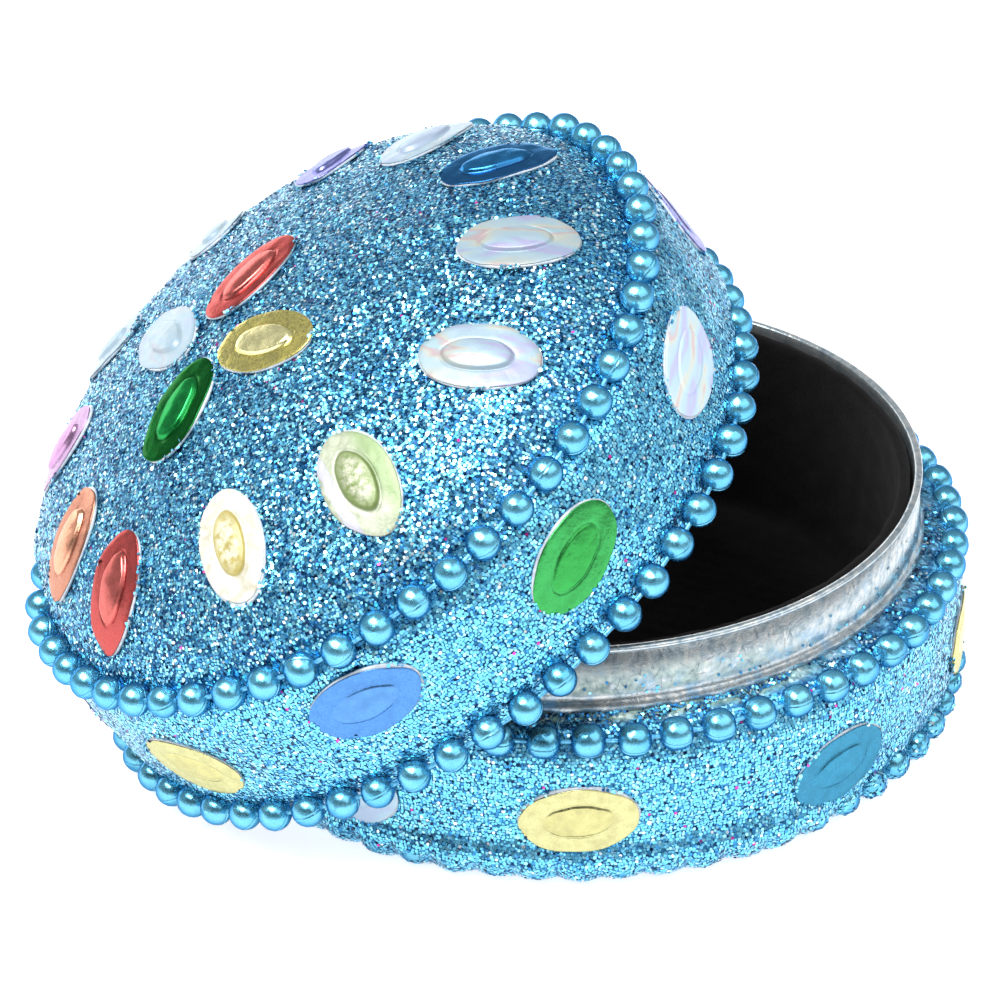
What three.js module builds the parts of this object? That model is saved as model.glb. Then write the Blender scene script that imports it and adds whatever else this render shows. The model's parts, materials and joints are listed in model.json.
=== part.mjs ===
// Round trinket box with glitter coat, bead strings and oval sequins; the lid leans on the base.
// Millimetres, +Z up. The base stands at the origin on its flat underside.

import * as THREE from 'three';
import { mergeVertices } from 'three/addons/utils/BufferGeometryUtils.js';

// Driving dimensions
const NECK_R = 31.4;              // collar that the lid slips over
const BASE_TOP_Z = 14.4;          // beads round the top of the base
const NECK_RISE = 7.3;            // collar above those beads
const SHOULDER_Z = 14.2;          // lid: from its rim beads, its zero height, to its shoulder beads
const DOME_RISE = 11.75;
const DOME_ROUNDNESS = 1.8;       // 2 is an ellipse, less is flatter at the edge
const BEAD = 3.0;                 // bead diameter
const PITCH = 1.26 * BEAD;
const FOOT_PITCH = 1.2 * BEAD;
const SHEET = 0.6;                // aluminium wall
const VELVET = 1.0;               // lining thickness
const GAP = 0.3;                  // clearance between neighbouring pieces
const COAT_PROUD = 0.8;           // base coat outside the line of its beads
const DOME_COAT = 1.3;            // coat over the tin of the dome, its glue gap included
const FACETS = 30;                // sides of every turned piece

const OVAL_LENGTH = 10.5;
const OVAL_WIDTH = 6.6;
const OVAL_EDGE = 0.4;            // flange thickness
const OVAL_BOSS = 0.75;           // height of the raised middle

const LID_TILT = THREE.MathUtils.degToRad(34.1);
const LID_AZIMUTH = THREE.MathUtils.degToRad(196.9);
const LID_SIDESTEP = 0.7;         // across the lean

// Worked out from the sizes above
const BEAD_R = BEAD / 2;
const SEAT = BEAD_R + GAP;        // hollow that holds a string of beads
const LIP = SHEET / 3;            // how far the rolled lip stands out from the collar
const BODY_R = NECK_R + SHEET;
const BASE_BEADS_R = BODY_R + 2 * GAP + LIP / 2 + SEAT;
const BASE_WALL_R = BASE_BEADS_R + COAT_PROUD;
const BASE_FOOT_Z = BEAD_R + 1.5 * GAP;
const COLLAR_STEP_Z = BASE_TOP_Z - GAP;
const NECK_TOP_Z = BASE_TOP_Z + NECK_RISE;
const LINING_R = NECK_R - SHEET - GAP;
const LID_TIN_R = NECK_R + SHEET + GAP;
const LID_EDGE_Z = -0.8 * BEAD_R;
const LID_BEND_Z = 0.64 * SHOULDER_Z;
const RIM_R = LID_TIN_R + SEAT;
const SHOULDER_R = RIM_R - BEAD_R;
const DOME_R = SHOULDER_R - SEAT + LIP;

// Where the lid leans: its lowest rim bead is on the ground, and its edge lies against the beads
// round the top of the base.
const LID_HEIGHT = RIM_R * Math.sin(LID_TILT) + BEAD_R;

function edgeClearance(offset) {
  const [s, c] = [Math.sin(LID_TILT), Math.cos(LID_TILT)];
  let nearest = Infinity;
  for (const edge of [LID_TIN_R, LID_TIN_R - SHEET]) {
    for (let degree = 0; degree < 360; degree += 1) {
      const a = THREE.MathUtils.degToRad(degree);
      const along = offset + edge * Math.cos(a) * c + LID_EDGE_Z * s;
      const z = LID_HEIGHT - edge * Math.cos(a) * s + LID_EDGE_Z * c;
      const across = LID_SIDESTEP + edge * Math.sin(a);
      const out = Math.hypot(along, across) - BASE_BEADS_R;
      nearest = Math.min(nearest, Math.hypot(out, z - BASE_TOP_Z));
    }
  }
  return nearest - BEAD_R;
}

function leanOffset() {
  let [near, far] = [NECK_R / 3, NECK_R];
  for (let i = 0; i < 40; i += 1) {
    const middle = (near + far) / 2;
    if (edgeClearance(middle) < GAP) near = middle;
    else far = middle;
  }
  return far;
}

const LID_CENTRE = new THREE.Vector3(leanOffset(), LID_SIDESTEP, LID_HEIGHT)
  .applyAxisAngle(new THREE.Vector3(0, 0, 1), LID_AZIMUTH);

// Colours
const COLOURS = {
  tin: ['#c3c6c4', 0.34, 0.95],
  coat: ['#4fa3c9', 0.42, 0.25],
  bead: ['#2f9bc8', 0.22, 0.55],
  velvet: ['#0b0b0d', 0.95, 0.0],
  red: ['#c4443c', 0.25, 0.5],
  gold: ['#c9b450', 0.25, 0.5],
  green: ['#146e32', 0.25, 0.5],
  white: ['#e6e6ee', 0.3, 0.1],
  orange: ['#d67755', 0.25, 0.5],
  cream: ['#f0ebc8', 0.25, 0.3],
  leaf: ['#aac36e', 0.25, 0.5],
  pearl: ['#bedcf0', 0.22, 0.4],
  navy: ['#2d5f8c', 0.25, 0.5],
  purple: ['#9678c8', 0.25, 0.5],
  pink: ['#dca0d2', 0.25, 0.4],
  blue: ['#5a8cdc', 0.25, 0.5],
  yellow: ['#ebdc78', 0.25, 0.4],
  grass: ['#3ca54b', 0.25, 0.5],
  teal: ['#4191be', 0.25, 0.5],
};

// Mesh helpers

// Joins shared corners and drops the empty triangles that a turned shape has on its axis.
function closed(geometry) {
  geometry.deleteAttribute('normal');
  geometry.deleteAttribute('uv');
  const merged = mergeVertices(geometry, 1e-4);
  const index = merged.index.array;
  const kept = [];
  for (let i = 0; i < index.length; i += 3) {
    const [a, b, c] = [index[i], index[i + 1], index[i + 2]];
    if (a !== b && b !== c && c !== a) kept.push(a, b, c);
  }
  merged.setIndex(kept);
  if (volume(merged) < 0) merged.setIndex(kept.reverse());
  merged.computeVertexNormals();
  return merged;
}

function volume(geometry) {
  const p = geometry.attributes.position;
  const [a, b, c] = [new THREE.Vector3(), new THREE.Vector3(), new THREE.Vector3()];
  let sum = 0;
  for (let i = 0; i < geometry.index.count; i += 3) {
    a.fromBufferAttribute(p, geometry.index.getX(i));
    b.fromBufferAttribute(p, geometry.index.getX(i + 1));
    c.fromBufferAttribute(p, geometry.index.getX(i + 2));
    sum += a.dot(b.cross(c));
  }
  return sum;
}

// Turns a profile of [radius, height] pairs round the Z axis.
function turned(profile) {
  const points = profile.map(([r, z]) => new THREE.Vector2(r, z));
  const geometry = new THREE.LatheGeometry(points, FACETS);
  geometry.rotateX(Math.PI / 2);
  return closed(geometry);
}

function ring(profile) {
  return turned([...profile, profile[0]]);
}

function solid(name, colour, geometry) {
  const [color, roughness, metalness] = COLOURS[colour];
  const material = new THREE.MeshStandardMaterial({ color, roughness, metalness });
  const mesh = new THREE.Mesh(geometry, material);
  mesh.name = name;
  return mesh;
}

// Bead strings: a round rod that swells at each bead and narrows to the thread between two.
function beadString(name, radius, height, pitch = PITCH) {
  const count = Math.round((2 * Math.PI * radius) / pitch);
  const sides = 5;
  const geometry = new THREE.TorusGeometry(radius, 1, sides, 2 * count);
  const p = geometry.attributes.position;
  const thread = 0.3 * BEAD_R;
  for (let i = 0; i < p.count; i += 1) {
    const angle = Math.atan2(p.getY(i), p.getX(i));
    const step = Math.round((angle / (2 * Math.PI)) * 2 * count);
    const tube = step % 2 === 0 ? BEAD_R : thread;
    const out = (Math.hypot(p.getX(i), p.getY(i)) - radius) * tube;
    const r = radius + out;
    p.setXYZ(i, r * Math.cos(angle), r * Math.sin(angle), height + p.getZ(i) * tube);
  }
  return solid(name, 'bead', closed(geometry));
}

// Dome of the lid: height over its own plane at a distance from the axis
function domeRise(r, radius, rise) {
  const bend = Math.max(0, 1 - (r / radius) ** DOME_ROUNDNESS);
  return rise * bend ** (1 / DOME_ROUNDNESS);
}

// Points of a dome from its edge to its middle
function domeProfile(radius, plane, rise, steps) {
  return Array.from({ length: steps + 1 }, (_, i) => {
    const q = (i / steps) * (Math.PI / 2);
    const r = i === steps ? 0 : radius * Math.cos(q) ** (2 / DOME_ROUNDNESS);
    return [r, plane + domeRise(r, radius, rise)];
  });
}

// Base
const FOOT_ROUND = 0.95 * BEAD_R;  // bevel at the tin's foot, behind the beads

function makeBase() {
  const group = new THREE.Group();
  group.name = 'base';
  const inner = NECK_R - SHEET;

  const tin = [
    [0, 0], [BODY_R - FOOT_ROUND, 0], [BODY_R, FOOT_ROUND],
    [BODY_R, COLLAR_STEP_Z - GAP], [NECK_R, COLLAR_STEP_Z],
    [NECK_R, NECK_TOP_Z - 4.5 * LIP], [NECK_R + LIP, NECK_TOP_Z - 3 * LIP],
    [NECK_R + LIP, NECK_TOP_Z - LIP], [NECK_R, NECK_TOP_Z],
    [inner, NECK_TOP_Z], [inner, SHEET], [0, SHEET],
  ];
  group.add(solid('base_tin', 'tin', turned(tin)));

  const floor = SHEET + GAP;
  const lining = [
    [0, floor], [LINING_R, floor],
    [LINING_R, NECK_TOP_Z - SHEET], [LINING_R - VELVET, NECK_TOP_Z - SHEET],
    [LINING_R - VELVET, floor + VELVET], [0, floor + VELVET],
  ];
  group.add(solid('base_lining', 'velvet', turned(lining)));

  const back = BODY_R + GAP;
  const seatIn = BASE_BEADS_R - SEAT;
  const diagonal = SEAT * Math.SQRT1_2;
  const coat = [
    [back, BASE_FOOT_Z - BEAD_R], [seatIn, BASE_FOOT_Z - BEAD_R], [seatIn, BASE_FOOT_Z],
    [BASE_BEADS_R - diagonal, BASE_FOOT_Z + diagonal],
    [BASE_BEADS_R, BASE_FOOT_Z + SEAT], [BASE_WALL_R, BASE_FOOT_Z + SEAT],
    [BASE_WALL_R, BASE_TOP_Z - SEAT], [BASE_BEADS_R, BASE_TOP_Z - SEAT],
    [BASE_BEADS_R - diagonal, BASE_TOP_Z - diagonal],
    [seatIn, BASE_TOP_Z], [seatIn, BASE_TOP_Z + 2 * GAP],
    [NECK_R + GAP, BASE_TOP_Z + 2 * GAP], [NECK_R + GAP, COLLAR_STEP_Z + GAP],
    [back, COLLAR_STEP_Z],
  ];
  group.add(solid('base_coat', 'coat', ring(coat)));

  group.add(beadString('base_top_beads', BASE_BEADS_R, BASE_TOP_Z));
  group.add(beadString('base_foot_beads', BASE_BEADS_R, BASE_FOOT_Z, FOOT_PITCH));
  return group;
}

// Lid, in its own frame: zero height is the plane of the rim beads
const WALL_TAPER = 0.05;

function coatWallR(z) {
  return RIM_R - LIP - WALL_TAPER * z;
}

function makeLid() {
  const group = new THREE.Group();
  group.name = 'lid';
  const steps = 5;

  const tinDome = { r: DOME_R - DOME_COAT, z: SHOULDER_Z - DOME_COAT, h: DOME_RISE - GAP };
  const bend = (LID_TIN_R - tinDome.r) / 3;
  const bendZ = (LID_BEND_Z + tinDome.z) / 2;
  const tin = [
    [LID_TIN_R, LID_EDGE_Z], [LID_TIN_R, LID_BEND_Z], [LID_TIN_R - bend, bendZ],
    ...domeProfile(tinDome.r, tinDome.z, tinDome.h, steps),
    ...domeProfile(tinDome.r - SHEET, tinDome.z - GAP, tinDome.h - GAP, steps).reverse(),
    [LID_TIN_R - bend - SHEET, bendZ], [LID_TIN_R - SHEET, LID_BEND_Z],
    [LID_TIN_R - SHEET, LID_EDGE_Z],
  ];
  group.add(solid('lid_tin', 'tin', ring(tin)));

  const inside = tinDome.r - SHEET - GAP;
  const lining = [
    ...domeProfile(inside, tinDome.z - 2 * GAP, tinDome.h - 1.5 * GAP, steps - 1),
    ...domeProfile(inside - VELVET, tinDome.z - 2 * GAP, tinDome.h - 1.5 * GAP - VELVET, steps - 1)
      .reverse(),
  ];
  group.add(solid('lid_lining', 'velvet', ring(lining)));

  const back = LID_TIN_R + GAP;
  const diagonal = SEAT * Math.SQRT1_2;
  const top = SHOULDER_Z - SEAT;
  const coat = [
    [back, diagonal], [RIM_R - SEAT / 2, SEAT], [coatWallR(SEAT), SEAT],
    [coatWallR(top), top], [SHOULDER_R, top],
    [SHOULDER_R - diagonal, SHOULDER_Z - diagonal], [SHOULDER_R - SEAT, SHOULDER_Z],
    ...domeProfile(DOME_R, SHOULDER_Z, DOME_RISE, steps).slice(1),
    ...domeProfile(tinDome.r + GAP, tinDome.z, tinDome.h + GAP, steps).reverse(),
    [back - bend, bendZ], [back, LID_BEND_Z],
  ];
  group.add(solid('lid_coat', 'coat', ring(coat)));

  group.add(beadString('lid_rim_beads', RIM_R, 0));
  group.add(beadString('lid_shoulder_beads', SHOULDER_R, SHOULDER_Z));

  group.position.copy(LID_CENTRE);
  group.rotation.set(0, LID_TILT, LID_AZIMUTH, 'ZYX');
  return group;
}

// Sequins: an oval plate with a raised middle, bent to the surface that it is pressed on
function ovalPlate() {
  const profile = [[0, 0], [1, 0], [1, OVAL_EDGE], [0.55, OVAL_BOSS], [0, OVAL_BOSS]]
    .map(([r, z]) => new THREE.Vector2(r, z));
  const geometry = new THREE.LatheGeometry(profile, 8);
  geometry.rotateX(Math.PI / 2);
  geometry.scale(OVAL_LENGTH / 2, OVAL_WIDTH / 2, 1);
  return closed(geometry);
}

// surface(x, y) gives the point and the outward normal at x along and y across the plate.
function sequin(name, colour, surface) {
  const geometry = ovalPlate();
  const p = geometry.attributes.position;
  for (let i = 0; i < p.count; i += 1) {
    const { point, normal } = surface(p.getX(i), p.getY(i));
    point.addScaledVector(normal, GAP + p.getZ(i));
    p.setXYZ(i, point.x, point.y, point.z);
  }
  if (volume(geometry) < 0) geometry.index.array.reverse();
  geometry.computeVertexNormals();
  return solid(name, colour, geometry);
}

// A wall of radius wallR(z); turn is the plate's angle from upright, toward the growing angle.
function wallSurface(angle, height, turn, wallR) {
  const [a0, t] = [THREE.MathUtils.degToRad(angle), THREE.MathUtils.degToRad(turn)];
  return (x, y) => {
    const z = height + x * Math.cos(t) - y * Math.sin(t);
    const r = wallR(z);
    const a = a0 + (x * Math.sin(t) + y * Math.cos(t)) / wallR(height);
    const normal = new THREE.Vector3(Math.cos(a), Math.sin(a), 0);
    return { point: new THREE.Vector3(r * normal.x, r * normal.y, z), normal };
  };
}

// The dome; axis is the plate's direction in plan, and a steeper place shortens what runs uphill.
function domeSurface(angle, distance, axis) {
  const [a0, t] = [THREE.MathUtils.degToRad(angle), THREE.MathUtils.degToRad(axis)];
  const rise = (r) => domeRise(r, DOME_R, DOME_RISE);
  const slope = (r) => (rise(r + 0.01) - rise(Math.max(0, r - 0.01))) / 0.02;
  const steep = 1 / Math.hypot(1, slope(distance));
  return (x, y) => {
    const along = x * Math.cos(t) - y * Math.sin(t);
    const across = x * Math.sin(t) + y * Math.cos(t);
    const outward = (along * Math.cos(a0) + across * Math.sin(a0)) * steep;
    const sideways = across * Math.cos(a0) - along * Math.sin(a0);
    const px = (distance + outward) * Math.cos(a0) - sideways * Math.sin(a0);
    const py = (distance + outward) * Math.sin(a0) + sideways * Math.cos(a0);
    const r = Math.max(Math.hypot(px, py), 1e-6);
    const s = slope(r);
    const normal = new THREE.Vector3((-s * px) / r, (-s * py) / r, 1).normalize();
    return { point: new THREE.Vector3(px, py, SHOULDER_Z + rise(r)), normal };
  };
}

// Flower of four on the dome: colour, angle round the flower, twist off its ray. Its middle and
// its reach are shares of the dome's radius.
const PETALS = [['red', 219, -22], ['gold', 124, 11], ['green', 41, -11], ['white', 300, -20]];
const FLOWER = new THREE.Vector2(0.132, -0.039).multiplyScalar(DOME_R);
const PETAL_REACH = 0.232 * DOME_R;

// Dome ring: colour, nudge off its twelfth of the ring, share of the dome's radius, turn off the ray
const DOME_RING = [
  ['orange', 4, 0.798, 8], ['red', -3, 0.822, 1], ['cream', 0, 0.744, 10], ['leaf', 1, 0.765, -5],
  ['pearl', 5.3, 0.783, 17], ['pearl', 5.8, 0.773, -2], ['navy', 6.5, 0.785, -9], ['white', 4, 0.782, 5],
  ['purple', 0, 0.781, 0], ['white', 1, 0.774, -8], ['white', 4, 0.787, 6], ['pink', 1, 0.8, 0],
];

// Lid wall: colour, share of the height between its two strings, turn from upright
const LID_WALL = [
  ['yellow', 0.451, -73], ['blue', 0.627, -89], ['grass', 0.521, 74], ['pearl', 0.514, 77],
  ['purple', 0.521, 69], ['red', 0.507, 84], ['gold', 0.535, -80], ['teal', 0.493, 88],
  ['leaf', 0.528, 76], ['pink', 0.479, -84],
];
const LID_WALL_START = 35.8;

// Base wall: nudge off even spacing, colour, share of the height of its top string, turn from upright
const BASE_WALL = [
  [0, 'yellow', 0.5, 84], [0, 'teal', 0.458, 81], [0, 'gold', 0.472, 86], [0, 'pearl', 0.5, -86],
  [0, 'red', 0.528, 80], [0, 'grass', 0.486, -78], [0, 'orange', 0.528, 88], [2, 'blue', 0.486, 82],
  [6, 'white', 0.451, 80],
];
const BASE_WALL_START = 270;

const numbered = (prefix, i) => `${prefix}_${String(i + 1).padStart(2, '0')}`;

function addSequins(base, lid) {
  PETALS.forEach(([colour, angle, twist], i) => {
    const ray = THREE.MathUtils.degToRad(angle);
    const x = FLOWER.x + PETAL_REACH * Math.cos(ray);
    const y = FLOWER.y + PETAL_REACH * Math.sin(ray);
    const round = THREE.MathUtils.radToDeg(Math.atan2(y, x));
    const surface = domeSurface(round, Math.hypot(x, y), angle + twist);
    lid.add(sequin(numbered('dome_petal', i), colour, surface));
  });
  DOME_RING.forEach(([colour, nudge, share, turn], i) => {
    const angle = (i * 360) / DOME_RING.length + nudge;
    const surface = domeSurface(angle, share * DOME_R, angle + turn);
    lid.add(sequin(numbered('dome_sequin', i), colour, surface));
  });
  LID_WALL.forEach(([colour, share, turn], i) => {
    const angle = LID_WALL_START + (i * 360) / LID_WALL.length;
    const surface = wallSurface(angle, share * SHOULDER_Z, turn, coatWallR);
    lid.add(sequin(numbered('lid_wall_sequin', i), colour, surface));
  });
  BASE_WALL.forEach(([nudge, colour, share, turn], i) => {
    const angle = BASE_WALL_START + (i * 360) / BASE_WALL.length + nudge;
    const surface = wallSurface(angle, share * BASE_TOP_Z, turn, () => BASE_WALL_R);
    base.add(sequin(numbered('base_wall_sequin', i), colour, surface));
  });
}

const box = new THREE.Group();
box.name = 'sequin_box';
const base = makeBase();
const lid = makeLid();
addSequins(base, lid);
box.add(base, lid);

export default box;
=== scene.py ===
"""Looks of the sequin jewelry box: glitter coats, bead strings, foil sequins, bare tin and velvet."""

import json
import math

import bpy
import numpy as np
from mathutils import Matrix, Vector


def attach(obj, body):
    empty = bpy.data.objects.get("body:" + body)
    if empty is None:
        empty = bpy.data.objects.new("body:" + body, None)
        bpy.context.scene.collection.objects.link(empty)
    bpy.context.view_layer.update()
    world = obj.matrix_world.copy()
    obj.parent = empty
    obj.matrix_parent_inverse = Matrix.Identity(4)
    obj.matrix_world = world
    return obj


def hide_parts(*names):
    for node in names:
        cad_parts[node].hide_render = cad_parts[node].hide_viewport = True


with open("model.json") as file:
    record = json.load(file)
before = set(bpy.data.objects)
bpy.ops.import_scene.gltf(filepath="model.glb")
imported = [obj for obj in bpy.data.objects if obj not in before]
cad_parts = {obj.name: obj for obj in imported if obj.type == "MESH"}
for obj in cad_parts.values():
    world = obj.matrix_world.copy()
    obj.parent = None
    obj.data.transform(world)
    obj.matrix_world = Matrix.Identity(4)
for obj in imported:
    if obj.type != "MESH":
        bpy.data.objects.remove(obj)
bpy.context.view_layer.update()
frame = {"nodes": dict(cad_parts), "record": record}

MM = 0.001
rng = np.random.default_rng(11)

# Driving sizes in millimetres, as in the solids
NECK_R = 31.4
BASE_TOP_Z = 14.4
NECK_RISE = 7.3
SHOULDER_Z = 14.2
DOME_RISE = 11.75
DOME_ROUNDNESS = 1.8  # 2 is an ellipse, less is flatter at the edge
BEAD_R = 1.5
PITCH = 3.78
FOOT_PITCH = 3.6
SHEET = 0.6
VELVET = 1.0
GAP = 0.3
OVAL_LENGTH = 10.5
OVAL_WIDTH = 6.6

# Worked out from them
SEAT = BEAD_R + GAP
LIP = SHEET / 3
BODY_R = NECK_R + SHEET
BASE_BEADS_R = BODY_R + 2 * GAP + LIP / 2 + SEAT
BASE_FOOT_Z = BEAD_R + 1.5 * GAP
NECK_TOP_Z = BASE_TOP_Z + NECK_RISE
LINING_R = NECK_R - SHEET - GAP
LID_TIN_R = NECK_R + SHEET + GAP
LID_EDGE_Z = -0.8 * BEAD_R
RIM_R = LID_TIN_R + SEAT
SHOULDER_R = RIM_R - BEAD_R
DOME_R = SHOULDER_R - SEAT + LIP


def beads_round(radius, pitch=PITCH):
    return round(2 * math.pi * radius / pitch)


STRINGS = {  # ring radius, height, beads, whether it is on the lid
    "base_top_beads": (BASE_BEADS_R, BASE_TOP_Z, beads_round(BASE_BEADS_R), False),
    "base_foot_beads": (BASE_BEADS_R, BASE_FOOT_Z, beads_round(BASE_BEADS_R, FOOT_PITCH), False),
    "lid_rim_beads": (RIM_R, 0.0, beads_round(RIM_R), True),
    "lid_shoulder_beads": (SHOULDER_R, SHOULDER_Z, beads_round(SHOULDER_R), True),
}

# Where the lid leans, read from its two bead rings


def node_points(name):
    """Vertices of a node of the frame, in millimetres."""
    mesh = frame["nodes"][name].data
    flat = np.empty(len(mesh.vertices) * 3)
    mesh.vertices.foreach_get("co", flat)
    return flat.reshape(-1, 3) / MM


LID_CENTRE = node_points("lid_rim_beads").mean(axis=0)
axis = node_points("lid_shoulder_beads").mean(axis=0) - LID_CENTRE
LID_AXIS = axis / np.linalg.norm(axis)
LEAN = LID_AXIS * [1, 1, 0]
LID_LOW = np.array([LEAN[0], LEAN[1], 0.0]) / np.linalg.norm(LEAN) * LID_AXIS[2]
LID_LOW[2] = -np.linalg.norm(LEAN)
LID_FRAME = np.stack([LID_LOW, np.cross(LID_AXIS, LID_LOW), LID_AXIS])


def lid_to_world(points):
    return points @ LID_FRAME + LID_CENTRE


def world_to_lid(points):
    return (points - LID_CENTRE) @ LID_FRAME.T


# Mesh helpers


def make(name, verts, faces, materials, on_lid=False, smooth=True, picks=None, tints=None):
    """A mesh object from points in millimetres; picks chooses a material for each face."""
    points = lid_to_world(verts) if on_lid else verts
    mesh = bpy.data.meshes.new(name)
    mesh.from_pydata((points * MM).tolist(), [], [list(map(int, f)) for f in faces])
    for material in materials:
        mesh.materials.append(material)
    if picks is not None:
        mesh.polygons.foreach_set("material_index", np.asarray(picks, dtype=np.int32))
    mesh.polygons.foreach_set("use_smooth", np.full(len(mesh.polygons), smooth))
    if tints is not None:
        layer = mesh.color_attributes.new("tint", "FLOAT_COLOR", "POINT")
        layer.data.foreach_set("color", tints.astype(np.float32).ravel())
    mesh.update()
    obj = bpy.data.objects.new(name, mesh)
    bpy.context.scene.collection.objects.link(obj)
    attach(obj, "root")
    return obj


def grid_faces(rows, columns, wrap_rows=False):
    """Quads of a grid that always wraps along its columns."""
    i = np.arange(rows if wrap_rows else rows - 1)[:, None]
    j = np.arange(columns)[None, :]
    nxt = (i + 1) % rows
    right = (j + 1) % columns
    quads = [i * columns + j, i * columns + right, nxt * columns + right, nxt * columns + j]
    return np.stack([np.broadcast_to(q, (len(i), columns)) for q in quads], -1).reshape(-1, 4)


def resample(profile, step):
    """A [radius, height] line with points no further apart than step, and its lengths."""
    profile = np.asarray(profile, float)
    lengths = np.concatenate([[0], np.cumsum(np.linalg.norm(np.diff(profile, axis=0), axis=1))])
    count = max(2, int(math.ceil(lengths[-1] / step)) + 1)
    s = np.linspace(0, lengths[-1], count)
    return np.stack([np.interp(s, lengths, profile[:, k]) for k in (0, 1)], 1), s


def rounded(profile, times=2):
    """Cuts the corners of an open line, which keeps its ends."""
    line = np.asarray(profile, float)
    for _ in range(times):
        a, b = line[:-1], line[1:]
        cut = np.stack([0.75 * a + 0.25 * b, 0.25 * a + 0.75 * b], 1).reshape(-1, 2)
        line = np.vstack([line[:1], cut, line[-1:]])
    return line


def unit(vectors):
    return vectors / np.maximum(np.linalg.norm(vectors, axis=-1), 1e-9)[..., None]


def polar(r, a, z):
    """Vectors from their reach from the axis, their angle round it and their height."""
    return np.stack(np.broadcast_arrays(r * np.cos(a), r * np.sin(a), z), -1)


def circle(steps):
    return np.linspace(0, 2 * math.pi, steps, endpoint=False)


def outward(profile):
    """Normals of a line that runs up the outside of a turned shape."""
    d = np.gradient(profile, axis=0)
    return unit(np.stack([d[:, 1], -d[:, 0]], 1))


def turned(profile, segments):
    """A [radius, height] line turned round the axis, as a (rows, segments, 3) array."""
    return polar(profile[:, 0][:, None], circle(segments), profile[:, 1][:, None])


def waves(points, wavelength, seed, terms=9):
    """Smooth random relief between about -1 and 1."""
    own = np.random.default_rng(seed)
    k = own.normal(size=(terms, 3))
    k *= (2 * math.pi / wavelength) / np.linalg.norm(k, axis=1)[:, None]
    k *= own.uniform(0.7, 1.5, (terms, 1))
    phase = own.uniform(0, 2 * math.pi, terms)
    return np.sin(points @ k.T + phase).sum(-1) / math.sqrt(terms) * 0.8


# Material helpers


def shader(name, color, metallic=0.0, roughness=0.5, **plain):
    material = bpy.data.materials.new(name)
    material.use_nodes = True
    bsdf = material.node_tree.nodes["Principled BSDF"]
    bsdf.inputs["Base Color"].default_value = (*color, 1)
    bsdf.inputs["Metallic"].default_value = metallic
    bsdf.inputs["Roughness"].default_value = roughness
    for key, value in plain.items():
        bsdf.inputs[key.replace("_", " ")].default_value = value
    return material, material.node_tree, bsdf


def node(tree, kind, **settings):
    n = tree.nodes.new(kind)
    for key, value in settings.items():
        if key in n.inputs:
            n.inputs[key].default_value = value
        else:
            setattr(n, key, value)
    return n


def place(tree, scale):
    """Object coordinates in metres, stretched by scale, which is one number or three."""
    where = tree.nodes.new("ShaderNodeTexCoord")
    mapping = tree.nodes.new("ShaderNodeMapping")
    mapping.inputs["Scale"].default_value = scale if isinstance(scale, tuple) else (scale,) * 3
    tree.links.new(where.outputs["Object"], mapping.inputs["Vector"])
    return mapping.outputs["Vector"]


def noise(tree, scale, detail=3.0, rough=0.55, seed=0.0):
    n = node(tree, "ShaderNodeTexNoise", Scale=1.0, Detail=detail, Roughness=rough)
    n.noise_dimensions = "4D"
    n.inputs["W"].default_value = seed
    tree.links.new(place(tree, scale), n.inputs["Vector"])
    return n.outputs["Fac"]


def ramp(tree, source, stops):
    n = tree.nodes.new("ShaderNodeValToRGB")
    while len(n.color_ramp.elements) < len(stops):
        n.color_ramp.elements.new(0.5)
    for element, (at, color) in zip(n.color_ramp.elements, stops):
        element.position = at
        element.color = (*color, 1)
    tree.links.new(source, n.inputs["Fac"])
    return n.outputs["Color"]


def span(tree, source, low, high, out_low=0.0, out_high=1.0):
    """Takes low to high onto out_low to out_high, and no further."""
    n = node(tree, "ShaderNodeMapRange")
    fill(tree, n.inputs, (source, low, high, out_low, out_high))
    return n.outputs["Result"]


def fill(tree, sockets, values):
    """Puts a value into each socket: a number, a vector, a colour or the output of another node."""
    for socket, value in zip(sockets, values):
        if isinstance(value, (int, float, tuple)):
            socket.default_value = value
        else:
            tree.links.new(value, socket)


def math_node(tree, operation, *values):
    n = node(tree, "ShaderNodeMath", operation=operation)
    fill(tree, n.inputs, values)
    return n.outputs[0]


def vector_node(tree, operation, *values):
    n = node(tree, "ShaderNodeVectorMath", operation=operation)
    fill(tree, n.inputs, values)
    return n.outputs["Value" if operation == "LENGTH" else "Vector"]


def product(tree, first, *others):
    for other in others:
        first = math_node(tree, "MULTIPLY", first, other)
    return first


def axes(tree, kind="Object"):
    """X, Y and Z of a kind of texture coordinates."""
    where = tree.nodes.new("ShaderNodeTexCoord")
    apart = tree.nodes.new("ShaderNodeSeparateXYZ")
    tree.links.new(where.outputs[kind], apart.inputs[0])
    return apart.outputs


def tint_of(tree):
    """The tint that a piece's points carry: its colour and its alpha."""
    return node(tree, "ShaderNodeVertexColor", layer_name="tint").outputs


def mix(tree, factor, a, b):
    n = node(tree, "ShaderNodeMix", data_type="RGBA")
    a, b = ((*color, 1) if isinstance(color, tuple) else color for color in (a, b))
    fill(tree, (n.inputs[0], n.inputs[6], n.inputs[7]), (factor, a, b))
    return n.outputs[2]


def bump(tree, bsdf, height, strength, distance):
    n = node(tree, "ShaderNodeBump", Strength=strength, Distance=distance)
    tree.links.new(height, n.inputs["Height"])
    tree.links.new(n.outputs["Normal"], bsdf.inputs["Normal"])


def srgb(*rgb):
    c = np.array(rgb) / 255
    return tuple(np.where(c <= 0.04045, c / 12.92, ((c + 0.055) / 1.055) ** 2.4).tolist())


# Materials


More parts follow.
